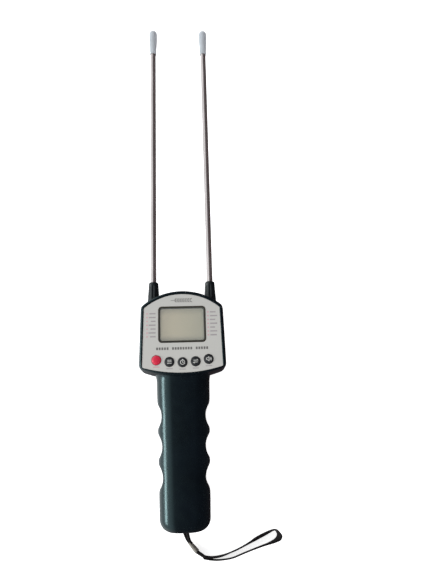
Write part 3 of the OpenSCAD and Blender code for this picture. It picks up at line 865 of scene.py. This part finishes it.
def handle_ring(at, inset):
    """One loop round the handle, this far from its end."""
    straight = HANDLE_LOW_HALF - inset
    half = handle_half(at, inset)
    base = max(half, straight)
    back = inset + rounded_end(at - inset, 4 - inset * 0.6)
    front = HANDLE_TOP - inset - rounded_end(at - inset, 6 - inset * 0.6)
    t = min(1.0, max(0.0, (at - (HEAD_START + 0.5 - NECK_L)) / NECK_L))
    flare = 0 if inset else 1 - math.sqrt(1 - t * t)
    bow = min(1.0, max(0.0, (at - 92) / 20))
    bow = bow * bow * (3 - 2 * bow)
    right = []
    for x, z, out_x, out_z in handle_section(base, inset):
        x = soft_min(x * half / base, scallop_limit(at, inset), 0.5) if x > 1 else x * half / base
        if z > SPLIT_Z:
            z = SPLIT_Z + (z - SPLIT_Z) * (front - SPLIT_Z) / (HANDLE_TOP - inset - SPLIT_Z)
        else:
            z = SPLIT_Z - (SPLIT_Z - z) * (SPLIT_Z - back) / (SPLIT_Z - inset)
        x += out_x * flare * NECK_SIDE
        z += max(0.0, out_z) * flare * NECK_RISE
        y = at + bow * (HEAD_LOW_R - math.sqrt(HEAD_LOW_R**2 - x * x))
        right.append((x, y, z))
    return right + [(-x, y, z) for x, y, z in right[-2:0:-1]]


def handle_body(inset=0.0):
    end = HANDLE_CORNER_R - inset
    stops = [inset + end * (1 - math.cos(math.pi / 2 * k / 14)) for k in range(15)]
    stops += [10.4 + k for k in range(94)]
    stops += [104.2 + 0.5 * k for k in range(28)]
    stops += [HEAD_START + 0.5, HEAD_START + (2 if inset == 0 else 8)]
    return loft([handle_ring(at, inset) for at in stops])


def screw_post(p, z0, z1, radius):
    return disc(p[0], p[1], radius).stack([(z0, 0), (z1, 0)])


def flared_hole(outline, inner_z, edge_z, flare):
    """A hole from inside a part out through its face, with the edge broken where it comes out."""
    way = 1 if edge_z > inner_z else -1
    beyond = 2
    return outline.stack([
        (inner_z, 0), (edge_z - way * flare, 0), (edge_z, -flare), (edge_z + way * beyond, -flare - beyond),
    ])


def case_cavity():
    """The head's and the handle's inner space, as two solids."""
    head = HEAD.stack([
        (WALL, 4.6), (WALL + 2, WALL + 0.8), (CEILING_Z - 4, WALL + 0.6), (CEILING_Z - 1.2, WALL + 0.9),
        (CEILING_Z, 4.4),
    ])
    return [head, handle_body(WALL)]


def outer_shell(name):
    shell = build(name, HEAD.stack(head_levels()), [SHELL])
    combine(shell, "UNION", [handle_body()])
    return shell


def boot_holes():
    return [rod_hole(side * ROD_X, 5.25, 170, 196) for side in (-1, 1)]


def key_centres():
    for name in ("power", "menu", "timer", "select", "sound"):
        low, high = node_box(f"{name}_key")
        yield name, (low.x + high.x) / 2, (low.y + high.y) / 2, low.z, high.z


PLATE_OUTLINE = arched(
    PLATE_LOW.y, PLATE_HIGH.y, HEAD_LOW_W - 7, HEAD_HIGH_W - 6.8, 115, 48, 1.2
)
KEY_HOLE_R = 4.05


def make_front_shell():
    """Front half: the face's recess, the window, the key holes and the posts inside."""
    shell = outer_shell("front_shell")
    combine(shell, "INTERSECT", [box(-99, 99, -9, 299, SPLIT_Z, 99)])
    combine(shell, "DIFFERENCE", case_cavity())
    posts = [screw_post(p, SPLIT_Z, 29, 3) for p in CASE_POINTS]
    posts += [screw_post(p, 26, CEILING_Z + 0.5, 2.4) for p in BOARD_POINTS + CASE_POINTS[1:]]
    combine(shell, "UNION", posts)
    recess = [(FLOOR_Z, -0.1), (RIM_Z - 0.25, -0.1), (RIM_Z, -0.35), (RIM_Z + 4, -4.35)]
    cuts = [PLATE_OUTLINE.stack(recess)]
    cuts.append(rectangle(0, WINDOW_MID, WINDOW_W - 0.8, WINDOW_H - 0.8, 2).stack([(30, 0), (40, 0)]))
    cuts += [disc(x, y, KEY_HOLE_R).stack([(30, 0), (40, 0)]) for _, x, y, _, _ in key_centres()]
    cuts += [screw_post(p, SPLIT_Z - 1, 27, 1.35) for p in CASE_POINTS]
    cuts += [screw_post(p, 25, 31, 1.05) for p in BOARD_POINTS]
    combine(shell, "DIFFERENCE", cuts + boot_holes())
    clean(shell, 32)
    even_normals(shell)
    return piece(shell, "case", "shell", "front_housing")


def make_rear_shell():
    """Back half: the battery bay, the screw bores, the door's recess and the strap's holes."""
    shell = outer_shell("rear_shell")
    combine(shell, "INTERSECT", [box(-99, 99, -9, 299, -9, SPLIT_Z)])
    combine(shell, "DIFFERENCE", case_cavity())
    half_bay, bay_end = BAY_W / 2, BAY_START + BAY_L
    posts = [screw_post(p, 0.5, SPLIT_Z - 0.02, 4.2) for p in CASE_POINTS]
    posts.append(box(-half_bay - 1.4, half_bay + 1.4, BAY_START - 1.4, bay_end + 1.4, 1, BAY_TOP + 1.4))
    posts += [box(x - 3.5, x + 3.5, 165, 171, 1, ROD_Z - 4.5) for x in (-ROD_X, ROD_X)]
    combine(shell, "UNION", posts)
    cuts = [rectangle(0, (BAY_START + bay_end) / 2, BAY_W, BAY_L, 0.6, 3).stack([(-2, 0), (BAY_TOP, 0)])]
    door = rectangle(0, (BAY_START + bay_end) / 2, BAY_W + 2 * DOOR_LIP, BAY_L + 2 * DOOR_LIP, 1.2, 6)
    cuts.append(flared_hole(door, DOOR_T, 0, 0.25))
    for x, y in CASE_POINTS:
        cuts.append(flared_hole(disc(x, y, BORE_R), BORE_L, 0, 0.35))
        cuts.append(disc(x, y, 1.5).stack([(1, 0), (SPLIT_Z + 1, 0)]))
    for x, z in STRING_HOLES:
        profile = [(HOLE_R + 0.2, -0.8), (HOLE_R + 0.2, 0), (HOLE_R, 0.2), (HOLE_R, WALL + 2)]
        cuts.append(loft(revolve_y(profile, x, z, 32)))
    combine(shell, "DIFFERENCE", cuts + boot_holes())
    clean(shell, 32)
    even_normals(shell)
    return piece(shell, "case", "shell", "rear_housing")


def make_door():
    """Battery door: broken edges, four thumb grooves and a latch with a hooked end."""
    low, high = node_box("battery_door")
    middle = (low.y + high.y) / 2
    w, l = high.x - low.x, high.y - low.y
    panel = rectangle(0, middle, w, l, 1)
    door = build("door_panel", panel.stack([(0, 0.25), (0.25, 0), (DOOR_T, 0)]), [SHELL])
    grooves = []
    for i in range(4):
        y = high.y - 7.5 - 2 * i
        profile = [(0.05, -5.6), (0.5, -5.2), (0.7, -4.6), (0.7, 4.6), (0.5, 5.2), (0.05, 5.6)]
        loops = []
        for radius, x in profile:
            loops.append([(x, y + radius * c, radius * 0.8 * s) for c, s in turn(0, 360, 16)[:-1]])
        grooves.append(loft(loops))
    combine(door, "DIFFERENCE", grooves)
    catch_y = BAY_START + BAY_L - 1.3
    catch = box(-4, 4, catch_y, catch_y + 1, DOOR_T - 0.4, DOOR_T + 1.9)
    combine(door, "UNION", [catch])
    clean(door, 32)
    even_normals(door)
    return piece(door, "battery_door", "shell", "battery_door")


make_front_shell()
make_rear_shell()
make_door()

# ---- Face ----


def make_plate():
    """Silver plate with broken edges, cut out round the window and the keys."""
    levels = [(FLOOR_Z, 0), (PLATE_TOP - 0.12, 0), (PLATE_TOP, 0.12)]
    plate = build("silver_plate", PLATE_OUTLINE.stack(levels), [PLATE])
    band = 2 * FRAME_BAND + 0.1
    window = rectangle(0, WINDOW_MID, WINDOW_W + band, WINDOW_H + band, 3)
    cuts = [flared_hole(window, 30, PLATE_TOP, 0.1)]
    for _, x, y, _, _ in key_centres():
        cuts.append(flared_hole(disc(x, y, KEY_HOLE_R), 30, PLATE_TOP, 0.12))
    combine(plate, "DIFFERENCE", cuts)
    clean(plate, 28)
    even_normals(plate)
    return piece(plate, "case", "plate", "face_plate")


def make_window():
    """Dark rounded line, clear window and the display under it."""
    line = rectangle(0, WINDOW_MID, WINDOW_W + 2 * FRAME_BAND, WINDOW_H + 2 * FRAME_BAND, 3, 12)
    top = PLATE_TOP + 0.2
    profile = [(0, FLOOR_Z), (0, top - 0.16), (0.06, top - 0.05), (0.2, top)]
    profile += [(FRAME_BAND - 0.3, top), (FRAME_BAND - 0.08, top - 0.08)]
    profile += [(FRAME_BAND, top - 0.3), (FRAME_BAND, FLOOR_Z)]
    piece(build("window_line", line.band(profile), [FRAME_LINE], 40), "case", "frame_line", "display_frame")
    pane = rectangle(0, WINDOW_MID, WINDOW_W - 0.1, WINDOW_H - 0.1, 1.7, 10)
    levels = [(FLOOR_Z, 0), (PLATE_TOP - 0.15, 0), (PLATE_TOP, 0.15)]
    piece(build("window_pane", pane.stack(levels), [LENS]), "case", "lens", "display_lens")
    low, high = node_box("lcd_panel")
    glass = rectangle(0, WINDOW_MID, high.x - low.x, high.y - low.y, 0.5, 4)
    levels = [(low.z, 0.1), (low.z + 0.1, 0), (high.z - 0.9, 0)]
    levels += [(high.z - 0.9, 0.35), (high.z - 0.1, 0.35), (high.z, 0.45)]
    piece(build("display_glass", glass.stack(levels), [LCD]), "case", "lcd", "lcd_panel")


INK_T = 0.04


def flat(z):
    return lambda x, y: z


def stroke(path, width, surface, rise=INK_T, closed=False):
    """A printed line along a path of (x, y), lying on a surface."""
    spots = [Vector(p) for p in path]
    last = len(spots) - 1
    loops = []
    for i, spot in enumerate(spots):
        if closed:
            heading = spots[(i + 1) % len(spots)] - spots[i - 1]
        else:
            heading = spots[min(i + 1, last)] - spots[max(i - 1, 0)]
        heading.normalize()
        side = Vector((-heading.y, heading.x)) * width / 2
        left, right = spot + side, spot - side
        corners = [(left, -INK_T), (right, -INK_T), (right, rise), (left, rise)]
        loops.append([(p.x, p.y, surface(p.x, p.y) + h) for p, h in corners])
    return loft(loops, closed=closed)


def arc(x, y, radius, start, end, steps=16):
    return [(x + radius * c, y + radius * s) for c, s in turn(start, end, steps)]


def straight(x0, y0, x1, y1, steps=4):
    return [(x0 + (x1 - x0) * k / steps, y0 + (y1 - y0) * k / steps) for k in range(steps + 1)]


def word(shape, x, y, length, height, slot=0):
    """A plain bar that stands for a printed word."""
    shape.add(stroke(straight(x, y, x + length, y, 2), height, flat(PLATE_TOP)), slot)


def make_print():
    """Printed marks of the plate: plain bars for words, an ear of grain and small index marks."""
    shape = Shape()
    ink = [(PLATE_TOP - INK_T, 0), (PLATE_TOP + INK_T, 0)]
    title_y = 140.3
    x = -21.3
    for count in (5, 8, 5):
        for _ in range(count):
            shape.add(rectangle(x + 0.8, title_y, 1.5, 2.1, 0.3, 3).stack(ink))
            x += 2.12
        x += 2.3
    ear_y = 180.4
    shape.add(stroke(straight(-9, ear_y, 7, ear_y, 6), 0.35, flat(PLATE_TOP)))
    for i in range(7):
        for side in (-1, 1):
            grain = []
            for c, s in turn(0, 360, 14)[:-1]:
                along, out = 1.05 * c, 0.4 * s
                lean = 0.7 * side
                x = -5 + 2.1 * i + along * math.cos(lean) - out * math.sin(lean)
                y = ear_y + side * 1.05 + along * math.sin(lean) + out * math.cos(lean)
                grain.append((x, y))
            shape.add(loft([[(x, y, PLATE_TOP + h) for x, y in grain] for h in (-INK_T, INK_T)]))
    lengths = [5.6, 6, 4.3, 6.2, 4.6, 6.4, 5]
    for i, length in enumerate(lengths):
        y = 169.8 - 3.2 * i
        word(shape, -29.3, y - 0.3, 1.3, 0.9, 2)
        word(shape, -21.7 - length * 0.9, y - 0.3, length * 0.9, 1.05, 1)
    for i, length in enumerate(lengths[::-1]):
        y = 170 - 3.2 * i
        word(shape, 20.9, y, 1.3, 0.9, 2)
        word(shape, 23.1, y, length * 0.95, 1.05, 1)
    for i, (_, x, y, _, _) in enumerate(key_centres()):
        word(shape, x - 2.6, y - 5.5, 5.2, 0.6, 2 if i == 0 else 1)
    marks = build("plate_print", shape, [INK_BLACK, INK_GREY, INK_ROSE], 40)
    return piece(marks, "case", "frame_line")


make_plate()
make_window()
make_print()

# ---- Keys ----

KEY_R = 3.8


def key_marks(name, x, y, surface):
    """The raised sign of a key: bars, a dial, two swapping arrows or a sounder."""
    shape = Shape()
    width = 0.45

    def line(*path, **options):
        shape.add(stroke([(x + px, y + py) for px, py in path], width, surface, 0.05, **options))

    if name == "menu":
        for row in (-1, 0, 1):
            line(*straight(-1.7, row * 1.25, 1.7, row * 1.25))
    if name == "timer":
        line(*arc(0, -0.1, 1.75, 0, 360, 24)[:-1], closed=True)
        line(*straight(0, -0.1, 0, 1.05))
        line(*straight(0, -0.1, 0.85, -0.45))
        line(*straight(-0.5, 2.1, 0.5, 2.1))
    if name == "select":
        for side in (-1, 1):
            line(*straight(-1.8 * side, 0.75 * side, 1.7 * side, 0.75 * side))
            line(*straight(1.9 * side, 0.75 * side, 0.95 * side, 1.65 * side))
    if name == "sound":
        line(*straight(-1.9, -0.7, -1.9, 0.7))
        line(*straight(-1.9, 0.7, -1, 0.7), *straight(-0.9, 0.8, 0.2, 1.75))
        line(*straight(0.2, 1.75, 0.2, -1.75))
        line(*straight(0.2, -1.75, -0.9, -0.8), *straight(-1, -0.7, -1.9, -0.7))
        line(*arc(0.1, 0, 1.15, -40, 40, 8))
        line(*arc(0.1, 0, 2, -40, 40, 8))
    if name == "power":
        line(*arc(0, 0, 1.5, 125, 415, 24))
        line(*straight(0, 0.3, 0, 1.9))
    return shape


def make_keys():
    """Domed keys with a rounded edge, a flange under the face and their signs."""
    for name, x, y, low, high in key_centres():
        edge = PLATE_TOP + 0.45
        dome = high - edge
        flange_r = KEY_R + 0.9
        profile = [(flange_r - 0.1, low), (flange_r, low + 0.1)]
        profile += [(flange_r, low + 1), (flange_r - 0.1, low + 1.1)]
        profile += [(KEY_R + 0.1, low + 1.1), (KEY_R, low + 1.2), (KEY_R, edge - 0.3)]
        profile += [(KEY_R - 0.05, edge - 0.12), (KEY_R - 0.16, edge)]
        crown_r = KEY_R - 0.16
        for k in range(1, 12):
            a = math.pi / 2 * k / 12
            profile.append((crown_r * math.cos(a), edge + dome * math.sin(a)))
        key = build(f"{name}_button", loft(revolve_z(profile + [(0.02, high)], x, y)), [
            KEY_RED if name == "power" else KEY_BLACK
        ], 50)
        piece(key, f"{name}_key", "key_red" if name == "power" else "key_black", f"{name}_key")

        def crown(px, py, x=x, y=y, edge=edge, dome=dome):
            away = min(1.0, math.hypot(px - x, py - y) / crown_r)
            return edge + dome * math.sqrt(1 - away**2)

        ink = KEY_RED if name == "power" else MARK_WHITE
        marks = build(f"{name}_sign", key_marks(name, x, y, crown), [ink], 40)
        piece(marks, f"{name}_key", "key_red" if name == "power" else "plate")


make_keys()

# ---- Probes ----


def make_rods():
    """Polished rods: a hollow shaft with a rounded start and a long pointed tip."""
    for side, name in ((-1, "left"), (1, "right")):
        low, high = node_box(f"probe_rod_{name}")
        taper = high.y - 13.4
        profile = [(ROD_R - 0.8, low.y), (ROD_R - 0.2, low.y), (ROD_R, low.y + 0.2)]
        profile += [(ROD_R, low.y + (taper - 1 - low.y) * k / 8) for k in range(1, 9)]
        profile += [(ROD_R - 0.03, taper - 0.2), (0.5, taper + 13)]
        profile += [(0.35, high.y - 0.15), (0.02, high.y)]
        rod = build(f"{name}_rod", loft(revolve_y(profile, side * ROD_X, ROD_Z)), [STEEL], 40)
        combine(rod, "DIFFERENCE", [rod_hole(side * ROD_X, ROD_R - 0.8, low.y - 1, taper - 8)])
        clean(rod, 40)
        piece(rod, "case", "rod_steel", f"probe_rod_{name}")


def make_boots():
    """Tapered rubber boots with upright flutes and rounded shoulders."""
    for side, name in ((-1, "left"), (1, "right")):
        low, high = node_box(f"probe_boot_{name}")
        top, base = high.y, HEAD_END - 6

        def flute(angle, length, base=base, top=top):
            share = (length - base - 1.2) / (top - base - 3.4)
            if not 0 < share < 1:
                return 0
            fade = min(1.0, 6 * share, 6 * (1 - share))
            return 0.5 * fade * (0.5 - 0.5 * math.cos(9 * angle + math.pi / 2)) ** 1.6

        profile = [(ROD_R + 0.02, low.y), (6, low.y), (6, low.y + 2), (5.2, low.y + 2), (5.2, base)]
        rows = 26
        for k in range(1, rows + 1):
            share = k / rows
            profile.append((5.2 - share, base + (top - 1.5 - base) * share))
        for k in range(1, 7):
            a = math.pi / 2 * k / 6
            profile.append((4.2 - 1.5 * (1 - math.cos(a)), top - 1.5 + 1.5 * math.sin(a)))
        profile += [(ROD_R + 0.05, top - 0.25)]
        loops = revolve_y(profile, side * ROD_X, ROD_Z, 108, flute)
        boot = build(f"{name}_boot", loft(loops, closed=True), [BOOT], 45)
        piece(boot, "case", "boot", f"probe_boot_{name}")


def make_caps():
    """Milky tip caps: a beaded mouth, a body that widens towards the tip and a rounded end."""
    for side, name in ((-1, "left"), (1, "right")):
        low, high = node_box(f"probe_cap_{name}")
        start, end = low.y, high.y
        outer = (high.x - low.x) / 2
        mouth = outer - 0.7
        bore = ROD_R + 0.06
        profile = [(bore + 0.1, start), (mouth - 0.3, start)]
        profile += [(mouth - 0.08, start + 0.2), (mouth, start + 0.6)]
        profile += [(mouth - 0.05, start + 1.3), (mouth - 0.2, start + 1.7), (mouth - 0.2, start + 2.4)]
        span = end - outer - 3.2 - start
        rows = [math.sin(math.pi / 2 * k / 8) for k in range(9)]
        profile += [(mouth - 0.1 + 0.75 * share, start + 3.2 + span * k / 8) for k, share in enumerate(rows)]
        for k in range(1, 11):
            a = math.pi / 2 * k / 10
            profile.append(((outer - 0.05) * math.cos(a) + 0.01, end - outer + outer * math.sin(a)))
        inner = [(0.01, end - 2), (1, end - 2.1), (bore - 0.5, end - 3)]
        inner += [(bore, end - 4.2), (bore, start + 0.1)]
        loops = revolve_y(profile + inner, side * ROD_X, ROD_Z, 64)
        cap = build(f"{name}_cap", loft(loops, closed=True), [CAP], 45)
        piece(cap, f"cap_{name}", "cap", f"probe_cap_{name}")


make_rods()
make_boots()
make_caps()

# ---- Battery and screws ----

CELL_L = 44.5
CELL_X = 5.35
CELL_Z = 8.2


def make_cells():
    """Four cells: wrapped tubes with crimped ends, a rim and a button."""
    low, high = node_box("battery_cells")
    radius = (high.z - low.z) / 2
    middle_z = (high.z + low.z) / 2
    length = CELL_L
    shape = Shape()
    for side, start in ((-1, low.y + 4.7), (1, low.y)):
        for i in range(2):
            first = start + i * (length + 0.05)
            wrap = [(radius - 1.2, 0.05), (radius - 0.35, 0.02), (radius, 0.4), (radius, length - 1.9)]
            wrap += [(radius - 0.4, length - 1.4), (radius - 1.3, length - 1.3)]
            button = [(radius - 1.2, length - 1.35), (2.1, length - 1.25), (1.9, length - 1.1)]
            button += [(1.9, length - 0.2), (1.7, length), (0.02, length)]
            cup = [(0.02, 0.25), (radius - 1.6, 0.25), (radius - 1.2, 0.0), (radius - 1.1, 0.1)]

            def laid(profile, side=side, first=first):
                if side < 0:
                    rows = [(r, first + at) for r, at in profile]
                else:
                    rows = [(r, first + length - at) for r, at in profile]
                return loft(revolve_y(rows, side * CELL_X, middle_z, 48))

            shape.add(laid(wrap), 0)
            shape.add(laid(button), 1)
            shape.add(laid(cup), 1)
    cells = build("cells", shape, [CELL, CONTACT], 40)
    piece(cells, "case", "cell", "battery_cells")


def make_springs():
    """Conical contact springs, wound finely enough to look drawn."""
    shape = Shape()
    turns, steps = 4, 28
    bay_end = BAY_START + BAY_L
    for x, start, sign in ((-CELL_X, BAY_START + 1.1, 1), (CELL_X, bay_end - 1.1, -1)):
        points = []
        for k in range(turns * steps + 1):
            a = 2 * math.pi * k / steps
            share = k / (turns * steps)
            r = 3.6 - 1.6 * share
            points.append((x + r * math.cos(a), start + sign * 3.8 * share, CELL_Z + r * math.sin(a)))
        shape.add(tube(points, 0.35, 8))
    springs = build("cell_springs", shape, [CONTACT], 60)
    piece(springs, "case", "contact", "battery_springs")


def make_case_screws():
    """Pan-head screws with a cross recess, down in the bores of the back."""
    shape = Shape()
    for x, y in CASE_POINTS:
        profile = [(0.02, 8.4), (1.5, 8.45), (2.1, 8.7), (2.4, 9.2), (2.4, 9.9), (2.3, 10), (1.3, 10)]
        for k in range(1, 30):
            profile.append((1.3 if k % 2 else 1.12, 10 + 0.5 * k))
        profile += [(0.6, 25.6), (0.02, 26)]
        shape.add(loft(revolve_z(profile, x, y, 32)))
    screws = build("cross_screws", shape, [SCREW_DARK], 40)
    slots = []
    for x, y in CASE_POINTS:
        for w, l in ((1.3, 0.28), (0.28, 1.3)):
            slots.append(box(x - w, x + w, y - l, y + l, 8, 9.3))
    combine(screws, "DIFFERENCE", slots)
    clean(screws, 40)
    piece(screws, "case", "screw_dark", "case_screws")


make_cells()
make_springs()
make_case_screws()

# ---- CAD nodes that stay: a finer edge and a better material ----

KEPT = {
    "door_foam": (FOAM, 0.4),
    "lcd_holder": (HOLDER, 0.2),
    "contact_strips": (ELASTOMER, 0.1),
    "main_board": (BOARD, 0.06),
    "controller_chip": (CHIP, 0.12),
    "small_chips": (CHIP, 0.12),
    "buzzer": (CHIP, 0.2),
    "key_switches": (SWITCH, 0.12),
    "rod_clamp_left": (BRASS, 0.25),
    "rod_clamp_right": (BRASS, 0.25),
    "clamp_screws": (SCREW_STEEL, 0.12),
    "board_screws": (SCREW_STEEL, 0.12),
    "battery_plates": (CONTACT, 0.08),
    "battery_leads": (WIRE_RED, 0),
    "probe_leads": (WIRE_BLUE, 0),
}
KEPT.update({f"{name}_plunger": (PLUNGER, 0.15) for name, *_ in key_centres()})


def dress(node, material, edge):
    """Gives a CAD node its material and, where it is a hard part, a small rounded edge."""
    obj = nodes[node]
    obj.data.materials.clear()
    obj.data.materials.append(material)
    if edge:
        bevel = obj.modifiers.new("edge", "BEVEL")
        bevel.width = edge * MM
        bevel.segments = 2
        bevel.limit_method = "ANGLE"
        bevel.angle_limit = math.radians(40)
        bevel.harden_normals = False


for node, (material, edge) in KEPT.items():
    dress(node, material, edge)

# ---- Floor and light ----


def make_floor():
    """A plain pale sheet that the meter lies on, lit a little from below like a light table."""
    half = 3000
    corners = ((-half, -half), (half, -half), (half, half), (-half, half))
    finish = Finish("floor_paper", (0.86, 0.86, 0.86), 0.9, Emission_Strength=0.8)
    finish.tint(60, 0.995, 1.005)
    finish.grain(0.8, 0.02, 0.2)
    floor = build("floor", loft([[(x, y, z) for x, y in corners] for z in (-20, -0.05)]), [finish.material])
    floor.visible_glossy = False


def make_light(name, spot, target, width, height, power, color=(1, 1, 1), glint=True):
    """A soft rectangular light, which shows in glossy surfaces or not. Places are in metres."""
    data = bpy.data.lights.new(name, "AREA")
    data.shape = "RECTANGLE"
    data.size, data.size_y = width, height
    data.energy = power
    data.color = color
    light = bpy.data.objects.new(name, data)
    scene.collection.objects.link(light)
    light.location = spot
    light.rotation_euler = (Vector(target) - Vector(spot)).to_track_quat("-Z", "Y").to_euler()
    light.visible_glossy = glint


def make_world():
    """A room that lights from the left and falls off to the right, in front of a plain pale backdrop."""
    world = bpy.data.worlds.new("studio")
    world.use_nodes = True
    tree = world.node_tree
    split = tree.nodes.new("ShaderNodeSeparateXYZ")
    link(tree, tree.nodes.new("ShaderNodeTexCoord").outputs["Generated"], split.inputs["Vector"])
    share = spread(tree, split.outputs["X"], -0.08, -0.62, 0, 1)
    room = mix(tree, share, (0.055, 0.04, 0.044), (1.12, 1.2, 1.22))
    seen = tree.nodes.new("ShaderNodeLightPath").outputs["Is Camera Ray"]
    link(tree, mix(tree, seen, room, (0.87, 0.88, 0.88)), tree.nodes["Background"].inputs["Color"])
    scene.world = world


make_floor()
make_world()
make_light("left_window", (-1.2, -0.24, 0.4), (0, -0.24, 0.02), 0.7, 0.3, 10.5, (0.96, 0.99, 1))
make_light("foot_softbox", (0.15, -1.5, 1.3), (0, -0.05, 0), 1.6, 0.8, 26, glint=False)
make_light("head_softbox", (0.1, 1.7, 1.3), (0, 0, 0), 1.6, 0.8, 24, glint=False)
scene.view_settings.view_transform = "Standard"
